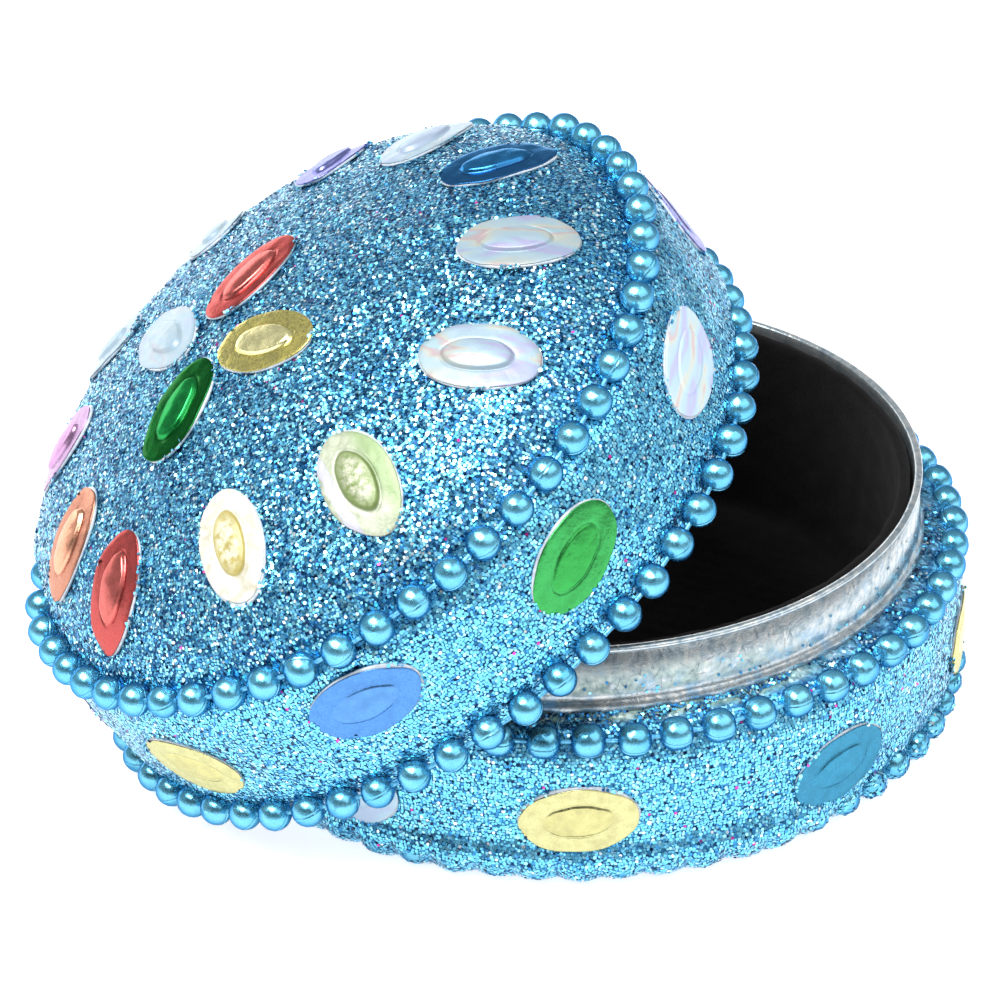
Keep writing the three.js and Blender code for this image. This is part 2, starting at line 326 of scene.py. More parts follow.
def resin_material(name, tones):
    """Blue resin full of small flakes, seen between the large ones, with glue showing by the neck."""
    material, tree, bsdf = shader(name, tones[1], 0.55, 0.3)
    cells = node(tree, "ShaderNodeTexVoronoi", Scale=1.0)
    tree.links.new(place(tree, 3600), cells.inputs["Vector"])
    split = tree.nodes.new("ShaderNodeSeparateColor")
    tree.links.new(cells.outputs["Color"], split.inputs["Color"])
    color = ramp(tree, split.outputs[0], list(zip((0.0, 0.4, 0.75, 1.0), tones)))
    x, _, z = axes(tree)
    where = tree.nodes.new("ShaderNodeTexCoord").outputs["Object"]
    away = vector_node(tree, "LENGTH", vector_node(tree, "MULTIPLY", where, (1, 1, 0)))
    glue = product(tree, span(tree, away, 0.0311, 0.0313), span(tree, away, 0.0326, 0.0334, 1.0, 0.0),
                   span(tree, z, 0.0145, 0.015), span(tree, z, 0.0164, 0.0168, 1.0, 0.0),
                   span(tree, x, 0.016, 0.024, 1.0, 0.2))
    glue_tone = ramp(tree, noise(tree, 700, 4.0, 0.6, 3.0), [
        (0.35, srgb(84, 118, 122)), (0.5, srgb(128, 160, 150)), (0.65, srgb(186, 206, 200))])
    tree.links.new(mix(tree, glue, color, glue_tone), bsdf.inputs["Base Color"])
    tree.links.new(span(tree, glue, 0.0, 1.0, 0.55, 0.05), bsdf.inputs["Metallic"])
    lean = vector_node(tree, "MULTIPLY_ADD", cells.outputs["Color"], (1.1, 1.1, 1.1), (-0.55, -0.55, -0.55))
    normal = tree.nodes.new("ShaderNodeNewGeometry").outputs["Normal"]
    leaning = vector_node(tree, "NORMALIZE", vector_node(tree, "ADD", normal, lean))
    tree.links.new(leaning, bsdf.inputs["Normal"])
    return material


def flake_material():
    """Foil flakes, each with the tint that its points carry."""
    material, tree, bsdf = shader("glitter_flakes", srgb(110, 180, 215), 0.85, 0.26)
    tree.links.new(tint_of(tree)["Color"], bsdf.inputs["Base Color"])
    return material


def bead_material():
    """Pearly lacquer, pale in the middle of each bead, with painted shade that turns it deeper blue toward
    its edge.
    """
    # painted shade: the blue specular tint darkens the reflection at each bead's rim
    material, tree, bsdf = shader("pearly_bead", srgb(118, 196, 224), 0.85, Coat_Weight=0.08,
                                  Coat_Roughness=0.2, Specular_Tint=(0.35, 0.6, 0.8, 1))
    color = ramp(tree, noise(tree, 500, 3.0), [
        (0.3, srgb(84, 162, 192)), (0.7, srgb(112, 182, 206))])
    # painted shade: the colour turns deeper blue where the bead's surface turns away from the camera
    facing = tree.nodes.new("ShaderNodeLayerWeight")
    facing.inputs["Blend"].default_value = 0.5
    color = mix(tree, span(tree, facing.outputs["Facing"], 0.25, 0.8), color, srgb(22, 96, 152))
    tree.links.new(color, bsdf.inputs["Base Color"])
    grain = noise(tree, 5600, 2.0, 0.6)
    tree.links.new(span(tree, grain, 0.3, 0.7, 0.18, 0.3), bsdf.inputs["Roughness"])
    bump(tree, bsdf, grain, 0.3, 0.00005)
    return material


def streaked(name, light, dark, metallic, roughness, scale):
    """A small part's material, mottled between two tones."""
    material, tree, bsdf = shader(name, light, metallic, roughness)
    tree.links.new(ramp(tree, noise(tree, scale, 4.0), [(0.35, dark), (0.65, light)]),
                   bsdf.inputs["Base Color"])
    return material


def tin_material():
    """Bare aluminium: rubbed dull, lightly scratched, with glue and blue stains near the neck's foot."""
    material, tree, bsdf = shader("bare_tin", srgb(212, 220, 224), 0.75, 0.34)
    mottle = noise(tree, (1100, 1100, 800), 6.0, 0.65)
    rub = noise(tree, (3600, 3600, 420), 4.0, 0.6, 1.0)
    color = ramp(tree, mottle, [(0.32, srgb(122, 138, 148)), (0.45, srgb(160, 172, 178)),
                                (0.58, srgb(186, 190, 190)), (0.72, srgb(206, 204, 198))])
    color = mix(tree, span(tree, rub, 0.38, 0.3, 0.0, 0.3), color, srgb(130, 142, 152))
    x, _, z = axes(tree)
    blot = noise(tree, (230, 230, 300), 6.0, 0.62, 4.0)
    glue = product(tree, span(tree, blot, 0.42, 0.52), span(tree, z, 0.0176, 0.0203, 1.0, 0.0),
                   span(tree, x, 0.012, 0.021, 1.0, 0.1), span(tree, z, 0.0168, 0.0173))
    blue = product(tree, span(tree, noise(tree, (360, 360, 420), 5.0, 0.6, 9.0), 0.55, 0.66),
                   span(tree, z, 0.0172, 0.0212, 0.9, 0.15))
    glue_tone = ramp(tree, noise(tree, 1500, 4.0, 0.6, 3.0), [
        (0.35, srgb(96, 122, 120)), (0.5, srgb(146, 168, 160)), (0.68, srgb(196, 208, 198))])
    color = mix(tree, product(tree, glue, 0.85), color, glue_tone)
    color = mix(tree, product(tree, blue, 0.6), color, srgb(96, 158, 200))
    specks = span(tree, noise(tree, (3800, 3800, 2400), 2.0, 0.5, 2.0), 0.67, 0.7)
    color = mix(tree, product(tree, specks, 0.55), color, srgb(70, 78, 90))
    tree.links.new(color, bsdf.inputs["Base Color"])
    tree.links.new(span(tree, glue, 0.0, 1.0, 0.25, 0.4), bsdf.inputs["Roughness"])
    tree.links.new(span(tree, glue, 0.0, 1.0, 0.85, 0.2), bsdf.inputs["Metallic"])
    bump(tree, bsdf, math_node(tree, "ADD", mottle, product(tree, blot, 2.0)), 0.3, 0.00018)
    return material


def velvet_material():
    """Black velvet, brushed in patches, with pale tips in its pile."""
    material, tree, bsdf = shader("black_velvet", srgb(14, 14, 16), 0.0, 1.0, Specular_IOR_Level=0.15,
                                  Sheen_Weight=0.03, Sheen_Roughness=0.4)
    pile = noise(tree, 5200, 3.0, 0.7)
    brushed = noise(tree, 190, 3.0, 0.6, 3.0)
    color = mix(tree, span(tree, brushed, 0.35, 0.75), srgb(3, 2, 3), srgb(11, 9, 10))
    color = mix(tree, span(tree, pile, 0.62, 0.72), color, srgb(28, 25, 27))
    tree.links.new(color, bsdf.inputs["Base Color"])
    bump(tree, bsdf, pile, 0.8, 0.0002)
    return material


FOILS = {  # colour of the boss, colour of the flange, how speckled the flange is
    "red": (srgb(192, 100, 94), srgb(172, 72, 70), 0.15),
    "gold": (srgb(236, 228, 170), srgb(206, 194, 110), 0.6),
    "green": (srgb(30, 136, 66), srgb(4, 78, 26), 0.2),
    "white": (srgb(222, 228, 238), srgb(216, 222, 234), 0.0),
    "orange": (srgb(222, 160, 130), srgb(168, 112, 92), 0.2),
    "cream": (srgb(204, 188, 108), srgb(254, 252, 240), 0.0),
    "leaf": (srgb(146, 172, 92), srgb(236, 244, 216), 0.05),
    "pearl": (srgb(230, 236, 246), srgb(206, 226, 244), 0.0),
    "navy": (srgb(44, 116, 170), srgb(40, 92, 142), 0.1),
    "purple": (srgb(128, 134, 190), srgb(124, 122, 184), 0.1),
    "pink": (srgb(184, 142, 180), srgb(168, 140, 172), 0.1),
    "blue": (srgb(82, 132, 188), srgb(76, 128, 188), 0.2),
    "yellow": (srgb(184, 178, 122), srgb(188, 184, 132), 0.1),
    "grass": (srgb(52, 150, 70), srgb(58, 154, 80), 0.1),
    "teal": (srgb(54, 126, 156), srgb(54, 124, 154), 0.15),
}


PALE_DEPTH = {"pearl": 0.34, "white": 0.38, "cream": 0.6, "leaf": 0.4}  # share of the colour kept
LIT_WALL_DEPTH = 0.66  # the same for the pearl and white foils on the walls, kept brighter there as painted light
CRUMPLED = ("cream", "leaf", "gold", "grass")
PEARL_CALM = np.array([200, 230, 250])
PEARL_LOUD = {"pearl": 0.6, "white": 0.2}  # how far the bands go from the calm colour to their own
PEARL_BANDS = [
    (0.3, (196, 206, 250)), (0.4, (214, 190, 250)), (0.46, (200, 232, 250)), (0.52, (214, 240, 248)),
    (0.58, (250, 240, 206)), (0.62, (250, 186, 178)), (0.68, (200, 240, 244))]


def pearly_color(tree, key, lengthwise, crosswise):
    """Soft rainbow bands across the foil."""
    along = node(tree, "ShaderNodeCombineXYZ")
    fill(tree, along.inputs, (product(tree, lengthwise, 1.1), product(tree, crosswise, 2.6)))
    bands = node(tree, "ShaderNodeTexNoise", Scale=1.0, Detail=2.0, Distortion=0.6)
    tree.links.new(along.outputs[0], bands.inputs["Vector"])
    stops = [(at, srgb(*(PEARL_CALM + PEARL_LOUD[key] * (np.array(rgb) - PEARL_CALM))))
             for at, rgb in PEARL_BANDS]
    return ramp(tree, bands.outputs["Fac"], stops)


def worn_color(tree, key, on_boss, crease):
    """The foil's two tones, with painted shade along its creases, and speckled where it is worn."""
    boss, flange, speckled = FOILS[key]
    color = mix(tree, on_boss, flange, boss)
    # painted shade: darker, toward the boss's own deeper tone, where the crease relief runs low
    color = mix(tree, span(tree, crease, 0.36, 0.6, 0.45, 0.0), color, tuple(0.55 * c for c in boss))
    fine = noise(tree, 5200, 2.0, 0.6, 7.0)
    worn = product(tree, span(tree, fine, 0.5, 0.58), speckled, span(tree, on_boss, 0.0, 1.0, 1.0, 0.25))
    return mix(tree, worn, color, tuple(0.4 * c for c in flange))


def with_painted_highlight(tree, color, inner):
    """Painted highlight, pale and crumpled, in the middle of the boss."""
    crumple = noise(tree, 1500, 5.0, 0.7, 5.0)
    # painted highlight: near-white in the middle of the boss, broken up by the crumple noise
    highlight_share = product(tree, span(tree, inner, 0.44, 0.7), span(tree, crumple, 0.4, 0.56))
    return mix(tree, product(tree, highlight_share, 0.85), color, srgb(250, 250, 226))


def with_torn_flange(tree, color, on_boss, crosswise, crease):
    """A flange that is green along one long side and torn white along the other."""
    across = math_node(tree, "FRACT", crosswise)
    on_flange = span(tree, on_boss, 0.0, 1.0, 1.0, 0.0)
    green = product(tree, span(tree, across, 0.62, 0.8), on_flange, 0.8)
    color = mix(tree, green, color, srgb(160, 196, 120))
    torn = math_node(tree, "ADD", across, product(tree, crease, 0.12))
    streak = product(tree, span(tree, torn, 0.3, 0.27), span(tree, torn, 0.12, 0.15), on_flange)
    return mix(tree, streak, color, srgb(236, 236, 250))


def foil_material(key, painted_light=False):
    """Foil on a sequin. Its points carry whether they are on the boss and where along and across."""
    boss = FOILS[key][0]
    pale = key in PALE_DEPTH
    name = f"foil_{key}_clean" if painted_light else f"foil_{key}"
    metallic = 0.22 if pale else 0.9
    material, tree, bsdf = shader(name, boss, metallic, Coat_Weight=0.1, Coat_Roughness=0.1)
    if not pale:
        bsdf.inputs["Specular Tint"].default_value = (*(0.3 + 0.7 * c ** 0.5 for c in boss), 1)
    tint = tint_of(tree)
    parts = tree.nodes.new("ShaderNodeSeparateColor")
    tree.links.new(tint["Color"], parts.inputs["Color"])
    on_boss, lengthwise, crosswise = parts.outputs
    crease = noise(tree, 900, 5.0, 0.6, 1.0)
    if key in PEARL_LOUD:
        color = pearly_color(tree, key, lengthwise, crosswise)
    else:
        color = worn_color(tree, key, on_boss, crease)
    if key in ("cream", "leaf"):
        color = with_painted_highlight(tree, color, tint["Alpha"])
    if key == "leaf":
        color = with_torn_flange(tree, color, on_boss, crosswise, crease)
    if pale:
        # painted light: the copies for the walls keep more of their colour, to stand in for light the walls
        # don't get
        color = mix(tree, 1.0 - (LIT_WALL_DEPTH if painted_light else PALE_DEPTH[key]), color, (0.0, 0.0, 0.0))
    tree.links.new(color, bsdf.inputs["Base Color"])
    dull = 0.2 if pale else 0.0
    tree.links.new(span(tree, crease, 0.3, 0.7, 0.18 + dull, 0.34 + dull), bsdf.inputs["Roughness"])
    bump(tree, bsdf, crease, 0.6 if key in CRUMPLED else 0.3, 0.00016)
    return material


BASE_RESIN = resin_material("base_resin", [srgb(22, 76, 128), srgb(36, 106, 160), srgb(74, 160, 204),
                                           srgb(130, 206, 232)])
LID_RESIN = resin_material("lid_resin", [srgb(10, 44, 92), srgb(22, 84, 140), srgb(58, 148, 196),
                                         srgb(120, 200, 230)])
FLAKES = flake_material()
BEAD = bead_material()
THREAD = streaked("bead_thread", srgb(120, 196, 224), srgb(44, 128, 176), 0.6, 0.4, 2600)
TIN = tin_material()
VELVET_CLOTH = velvet_material()
PLASTIC = streaked("white_plastic", srgb(178, 184, 190), srgb(146, 156, 166), 0.0, 0.35, 1800)
FOIL = {key: foil_material(key) for key in FOILS}
# brighter copies of the pearl and white foils for the walls: painted light
LIT_WALL_FOIL = {key: foil_material(key, painted_light=True) for key in PEARL_LOUD}

# Turned shells


def shell(name, node_name, line, material, segments, on_lid=False, relief=None):
    """A closed turned shape from a closed [radius, height] line, moved by relief(points, normals)."""
    points = turned(line, segments)
    if relief is not None:
        points = points + relief(points, turned(outward(line), segments))
    faces = grid_faces(len(line), segments, wrap_rows=True)
    obj = make(name, points.reshape(-1, 3), faces, [material], on_lid)
    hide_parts(node_name)
    return obj


def turn_of(points):
    """How far round the circle points lie, in degrees."""
    return np.degrees(np.arctan2(points[..., 1], points[..., 0])) % 360


def between(degrees, rise_from, full_from, full_to, fall_to):
    """1 inside a stretch of the circle and 0 outside it, with soft ends."""
    return np.interp(degrees, [0, rise_from, full_from, full_to, fall_to, 360], [0, 0, 1, 1, 0, 0])


def radial(points):
    """Directions straight away from the axis."""
    return unit(points * [1, 1, 0])


def lumps(height, wave, seed):
    """A relief of smooth random lumps."""
    return lambda points, normals: normals * (height * waves(points, wave, seed))[..., None]


def base_relief(points, normals):
    """Lumps, and the glitter that buries the foot string in front and at the left, in shallow scallops."""
    z = points[..., 2]
    turn = turn_of(points)
    front = between(turn, 165, 190, 304, 322)
    notch = 1 - np.abs(np.cos(np.radians(turn) * STRINGS["base_foot_beads"][2] / 2))
    slope = np.clip((5.0 - z) / 3.1, 0, 1)
    foot = 1.55 * slope ** 2 * (3 - 2 * slope) - 0.6 * notch * np.clip((3.4 - z) / 1.4, 0, 1)
    return lumps(0.09, 5.0, 21)(points, normals) + radial(points) * (foot * front)[..., None]


def lid_relief(points, normals):
    """Lumps, and the thicker coat over the far part of the shoulder string."""
    z = points[..., 2]
    far = between(turn_of(points), 205, 232, 340, 354)
    swell = 1.1 * far * np.exp(-((z - 15.3) / 1.5) ** 2)
    return lumps(0.11, 5.0, 22)(points, normals) + radial(points) * swell[..., None]


def dome_rise(r):
    """Height of the dome over its foot, at a reach from the axis."""
    share = np.clip(1 - (np.abs(r) / DOME_R) ** DOME_ROUNDNESS, 0, 1)
    return DOME_RISE * share ** (1 / DOME_ROUNDNESS)


def dome_line(radius, plane, rise, steps=26, middle=0.05):
    """The line of a dome from its foot to its middle, with evenly spread turns."""
    q = np.linspace(0, math.pi / 2, steps)
    r = np.maximum(radius * np.cos(q) ** (2 / DOME_ROUNDNESS), middle)
    return np.stack([r, plane + rise * np.sin(q) ** (2 / DOME_ROUNDNESS)], 1)


# Outer lines of the two coats, from the foot up
BASE_SKIN = rounded([
    [33.0, 0.45], [33.9, 0.7], [34.5, 1.9], [34.9, 3.0], [35.3, 4.3], [35.42, 8.0], [35.3, 11.8],
    [35.0, 12.9], [34.5, 13.9], [34.0, 14.8], [33.2, 15.3], [32.5, 15.4], [NECK_R + 0.48, 15.65]])
LID_SKIN = np.vstack([
    rounded([[32.35, -1.0], [32.95, -0.8], [33.3, 0.4], [33.75, 1.7], [33.85, 3.0], [33.7, 7.0],
             [33.35, 11.0], [32.9, 12.5], [32.2, 13.3], [31.6, 13.9], [31.2, 14.6], [30.95, 15.2]]),
    dome_line(DOME_R, SHOULDER_Z, DOME_RISE, 40)[5:]])


DOME_TIN = 1.3  # how far the dome's tin lies under the outside of its coat
GLUE = 0.3  # between the dome's tin and its lining


def make_tins_and_linings():
    """The base as a tin cup with a velvet one in it, and the lid as a tin dome with velvet under it."""
    neck = [
        [NECK_R, 13.9], [NECK_R + 0.5, 15.2], [NECK_R + 0.5, 15.8], [NECK_R + 0.42, 16.1],
        [NECK_R + 0.2, 16.4], [NECK_R + 0.05, 16.6], [NECK_R, 17.0],
        [NECK_R, 21.0], [NECK_R - 0.09, 21.05], [NECK_R - 0.09, 21.12], [NECK_R + 0.06, 21.18],
        [NECK_R + 0.16, 21.28], [NECK_R + 0.18, 21.45], [NECK_R + 0.1, 21.62], [NECK_R - 0.15, NECK_TOP_Z],
        [NECK_R - 0.42, NECK_TOP_Z - 0.04], [NECK_R - 0.56, NECK_TOP_Z - 0.2]]
    inner = NECK_R - SHEET
    line = np.array([[0.05, 0.0], [28.0, 0.0], [29.2, 0.25], [30.6, 0.05], [31.4, 0.35], [31.9, 1.0],
                     [BODY_R, 1.8], [BODY_R, 13.6], *neck, [inner, 21.0], [inner, 0.9],
                     [inner - 0.3, SHEET], [0.05, SHEET]])
    shell("base_cup", "base_tin", line, TIN, 192)

    inside = LINING_R - VELVET
    top = NECK_TOP_Z - SHEET
    cup = np.vstack([
        [[0.05, 0.9], [LINING_R, 0.9], [LINING_R, top - 0.3], [LINING_R - 0.3, top],
         [inside + 0.2, top - 0.05], [inside, top - 0.4]],
        resample([[inside, top - 0.6], [inside, 2.6]], 0.5)[0],
        [[inside - 0.1, 2.2], [inside - 0.4, 1.95]],
        resample([[inside - 0.6, 1.9], [0.05, 1.9]], 0.6)[0]])
    shell("velvet_cup", "base_lining", cup, VELVET_CLOTH, 200, relief=lumps(0.07, 2.4, 5))

    edge = [[LID_TIN_R - SHEET, LID_EDGE_Z + 0.15], [LID_TIN_R - 0.3, LID_EDGE_Z],
            [LID_TIN_R, LID_EDGE_Z + 0.15]]
    outer = dome_line(DOME_R - DOME_TIN, SHOULDER_Z - DOME_TIN, DOME_RISE - 0.3)
    under = dome_line(DOME_R - DOME_TIN - SHEET, SHOULDER_Z - 1.6, DOME_RISE - 0.6)[::-1]
    tin = np.vstack([edge, [[LID_TIN_R, 9.1], [31.4, 11.2]], outer, under, [[30.8, 11.0],
                     [LID_TIN_R - SHEET, 9.0]]])
    shell("lid_cup", "lid_tin", tin, TIN, 144, on_lid=True)

    radius = DOME_R - DOME_TIN - SHEET - GLUE
    low, high = SHOULDER_Z - 1.9, DOME_RISE - 0.75
    cloth = np.vstack([dome_line(radius, low, high), dome_line(radius - VELVET, low, high - VELVET)[::-1]])
    shell("velvet_dome", "lid_lining", cloth, VELVET_CLOTH, 160, True, lumps(0.06, 2.4, 6))


# Lint and glue on the neck

FIBRES = 120
PALE_FIBRES = 8
FIBRE_POINTS = 6
FIBRE_WIDTH = 0.013  # half of a fibre's width
FIBRE_CLUSTERS = np.radians([-84, -79, -70, -66, -62, -55, -40, -25, -8, 10])


def make_fibres():
    """Short dark fibres in clusters on the neck, and a few pale ones over its lip."""
    own = np.random.default_rng(41)
    verts, faces, picks = [], [], []
    for i in range(FIBRES):
        pale = i >= FIBRES - PALE_FIBRES
        a = own.choice(FIBRE_CLUSTERS) + own.normal(0, 0.035)
        z = NECK_TOP_Z + 0.04 if pale else float(np.clip(own.normal(19.2, 1.1), 16.9, 20.9))
        heading = own.normal(1.5, 0.7)
        length = own.uniform(0.3, 1.5)
        curl = own.normal(0, 0.5)
        s = np.linspace(-0.5, 0.5, FIBRE_POINTS) * length
        bend = heading + curl * s
        x = np.cumsum(np.cos(bend)) * length / FIBRE_POINTS
        y = np.cumsum(np.sin(bend)) * length / FIBRE_POINTS
        for off in (-FIBRE_WIDTH, FIBRE_WIDTH):
            angle = a + (x + off * np.sin(heading)) / NECK_R
            if pale:
                height = z + 0.15 * np.sin(s * 4) + off
                r = NECK_R + 0.05 - np.abs(s) * 0.5
            else:
                height = z + y - off * np.cos(heading)
                r = NECK_R + 0.05
            verts.append(polar(r, angle, height))
        start = i * 2 * FIBRE_POINTS
        for k in range(start, start + FIBRE_POINTS - 1):
            faces.append([k, k + 1, k + FIBRE_POINTS + 1, k + FIBRE_POINTS])
            picks.append(int(pale))
    dark = streaked("dark_fibre", srgb(84, 92, 106), srgb(40, 44, 56), 0.0, 0.6, 3000)
    light = streaked("pale_fibre", srgb(200, 200, 196), srgb(150, 150, 148), 0.0, 0.6, 3000)
    obj = make("neck_fibres", np.vstack(verts), faces, [dark, light], picks=picks)


GLUE_DOTS = [  # degrees round the neck, height, radius
    (-98, 17.5, 0.34), (-95.5, 17.7, 0.2), (-84.5, 17.9, 0.36), (-60, 18.6, 0.2), (-20, 19.2, 0.26)]


def make_glue_dots():
    """Small pale drops of glue on the neck, in front."""
    rows, segments = 7, 14
    tilt = np.linspace(0.08, math.pi - 0.08, rows)[:, None]
    ball = polar(np.sin(tilt), circle(segments), np.cos(tilt))
    verts, faces = [], []
    for i, (degrees, z, size) in enumerate(GLUE_DOTS):
        centre = polar(NECK_R, math.radians(degrees), z)
        verts.append((centre + size * ball).reshape(-1, 3))
        faces.append(grid_faces(rows, segments) + i * rows * segments)
    glue = streaked("white_glue", srgb(214, 222, 226), srgb(176, 192, 198), 0.0, 0.18, 1500)
    make("neck_glue_dots", np.vstack(verts), np.vstack(faces), [glue])


# Glitter

UNEVEN = 0.15  # how far a flake lies from its even place, as a share of the spacing
ROWS = 0.87  # distance of rows of flakes, as a share of the spacing in them
SUNK = 0.07  # how far the resin lies under the flakes
FLAKE_SIZES = 0.12  # how much the flakes differ in size, as a share
NEAR_NECK_R = 33.6


def scatter(line, spacing, low):
    """Places over a turned surface, in jittered rows, and the surface's normals there."""
    fine, lengths = resample(line, 0.1)
    normals = outward(fine)
    points, directions = [], []
    for s in np.arange(low, lengths[-1], spacing * ROWS):
        r = np.interp(s, lengths, fine[:, 0])
        count = max(1, int(2 * math.pi * r / spacing))
        along = s + rng.normal(0, UNEVEN * spacing, count)
        a = (np.arange(count) + rng.uniform(0, 1) + rng.normal(0, UNEVEN, count)) * 2 * math.pi / count
        for found, source in ((points, fine), (directions, normals)):
            r, z = (np.interp(along, lengths, source[:, k]) for k in (0, 1))
            found.append(polar(r, a, z))
    return np.vstack(points), unit(np.vstack(directions))


def hexagons(points, normals, radius, lean):
    """Six-sided flakes that lie on the surface, each turned and leaning at random."""
    count = len(points)
    n = unit(normals + rng.normal(0, 1, (count, 3)) * lean)
    side = unit(np.cross(n, rng.normal(size=(count, 3))))
    other = np.cross(n, side)
    a = np.arange(6) * math.pi / 3
    r = (radius * rng.normal(1, FLAKE_SIZES, count))[:, None, None]
    corners = points[:, None] + r * (np.cos(a)[None, :, None] * side[:, None]
                                     + np.sin(a)[None, :, None] * other[:, None])
    faces = np.arange(count * 6).reshape(-1, 6)
    return corners.reshape(-1, 3), faces


def tints_for(count, palette):
    """A colour for each flake: palette rows are share, colour and how far its brightness varies."""
    shares = np.array([row[0] for row in palette])
    picks = rng.choice(len(palette), count, p=shares / shares.sum())
    colors = np.array([row[1] for row in palette])[picks]
    spread = np.array([row[2] for row in palette])[picks]
    colors = np.clip(colors * np.exp(rng.normal(0, 1, count) * spread)[:, None], 0, 1)
    return np.repeat(np.hstack([colors, np.ones((count, 1))]), 6, axis=0)


WALL_TINTS = [
    (0.68, srgb(104, 190, 224), 0.13), (0.15, srgb(150, 218, 240), 0.09), (0.11, srgb(50, 126, 176), 0.25),
    (0.015, srgb(232, 244, 250), 0.05), (0.002, srgb(190, 60, 150), 0.2), (0.02, srgb(10, 34, 70), 0.3)]
DOME_TINTS = [
    (0.44, srgb(82, 156, 192), 0.3), (0.2, srgb(26, 86, 132), 0.35), (0.26, srgb(134, 206, 228), 0.18),
    (0.06, srgb(222, 244, 250), 0.08), (0.0015, srgb(180, 60, 150), 0.2), (0.04, srgb(10, 36, 66), 0.3)]
SEAM_TINTS = [
    (0.45, srgb(40, 112, 170), 0.3), (0.35, srgb(96, 186, 224), 0.25), (0.13, srgb(12, 44, 86), 0.3),
    (0.07, srgb(220, 240, 250), 0.1)]


def coat_skin(name, node_name, outer, back, on_lid, relief, segments):
    """The resin of a coat: its outer line up the outside, and back down against the tin."""
    line = np.vstack([resample(outer, 0.45)[0], back])

    def sunk(points, normals):
        return relief(points, normals) - SUNK * normals
    return shell(name, node_name, line, LID_RESIN if on_lid else BASE_RESIN, segments, on_lid, sunk)


def on_relief(points, normals, relief, step=0.05):
    """Points and normals once the coat's relief is on."""
    round_ = unit(np.cross([0, 0, 1.0], normals))
    climb = np.cross(normals, round_)
    here, aside, above = (p + relief(p, normals)
                          for p in (points, points + step * round_, points + step * climb))
    return here, unit(np.cross(aside - here, above - here))


def strew(name, line, relief, spacing, radius, lean, palette, low=0.0, on_lid=False, keep=None):
    """Flakes over a coat. keep is a function of points that says which of them get a flake."""
    points, normals = scatter(line, spacing, low)
    if keep is not None:
        chosen = keep(points)
        points, normals = points[chosen], normals[chosen]
    points, normals = on_relief(points, normals, relief)
    points = points + normals * rng.uniform(0.02, 0.09, len(points))[:, None]
    verts, faces = hexagons(points, normals, radius, lean)
    obj = make(name, verts, faces, [FLAKES], on_lid, smooth=False, tints=tints_for(len(points), palette))


def near_neck(points):
    """Points of the base's coat by its neck, or behind the wall."""
    return np.hypot(points[:, 0], points[:, 1]) < NEAR_NECK_R


def in_glue_gaps(points):
    """Flakes between the glue patches by the neck."""
    return near_neck(points) & (points[:, 2] > 13) & (waves(points, 3.2, 31) > -0.15)


def make_glitter():
    """Both coats: a skin of resin, and flakes all over it."""
    back = [[NECK_R + 0.45, 15.2], [BODY_R + 0.1, 14.4], [BODY_R + 0.1, 0.6]]
    coat_skin("base_coat_resin", "base_coat", BASE_SKIN, back, False, base_relief, 300)
    under = dome_line(DOME_R - 1.2, SHOULDER_Z - 1.2, DOME_RISE - 0.2)[::-1]
    lid_back = np.vstack([under, [[31.4, 11.4], [LID_TIN_R + 0.1, 9.2], [LID_TIN_R + 0.02, -0.9]]])
    coat_skin("lid_coat_resin", "lid_coat", LID_SKIN, lid_back, True, lid_relief, 230)

    strew("base_glitter", BASE_SKIN, base_relief, 0.305, 0.15, 0.1, WALL_TINTS, 0.4,
          keep=lambda p: ~near_neck(p) | (p[:, 2] < 12))
    strew("base_glitter_by_neck", BASE_SKIN, base_relief, 0.27, 0.14, 0.3, SEAM_TINTS, keep=in_glue_gaps)
    neck = [[NECK_R + 0.03, 16.9], [NECK_R + 0.03, 20.8]]
    strew("neck_stray_glitter", neck, lambda p, n: 0 * p, 0.5, 0.15, 0.15, WALL_TINTS,
          keep=lambda p: rng.uniform(0, 1, len(p)) < 0.16 * np.exp(-(p[:, 2] - 16.9) / 1.1))
    wall_end = int(np.argmax(LID_SKIN[:, 1] > SHOULDER_Z + 0.2)) + 1
    strew("lid_wall_glitter", LID_SKIN[:wall_end], lid_relief, 0.305, 0.15, 0.1, WALL_TINTS, 0.3, True)
    strew("lid_dome_glitter", LID_SKIN[wall_end - 1:], lid_relief, 0.3, 0.145, 0.2, DOME_TINTS, 0.0, True)


# Bead strings


BEAD_SEGMENTS = 20
MOULDING = 0.965  # radius at the bottom of the moulding line
MOULDING_LIP = 1.004
BARREL = 0.75  # less is squarer ends
LINKS = 4  # steps of the thread from bead to bead
THREAD_SIDES = 6
THREAD_R = 0.2
FLAKES_ON_BEAD = 230


def bead_mesh():
    """A ball of radius 1 with a fine moulding line round its middle; Z is across the line."""
    rows = np.radians([-90, -68, -50, -33, -18, -7, -3.2, -1.2, 1.2, 3.2, 7, 18, 33, 50, 68, 90])
    radius = np.ones(len(rows))
    radius[7:9] = MOULDING
    radius[6] = radius[9] = MOULDING_LIP
    line = np.stack([np.maximum(radius * np.cos(rows), 0.02), radius * np.sin(rows)], 1)
    points = turned(line, BEAD_SEGMENTS)
    return points.reshape(-1, 3), grid_faces(len(rows), BEAD_SEGMENTS)


def uneven(name, degrees):
    """How far inside its true ring a string was glued, in millimetres."""
    d = degrees % 360
    if name == "lid_shoulder_beads":
        return 1.3 * float(between(d, 199, 222, 343, 356) + between(d, 218, 240, 343, 356) * 0.35)
    if name == "lid_rim_beads":
        return float(between(d, 142, 170, 340, 360) + between(d, 165, 190, 340, 360) * 0.3)
    return 0.0


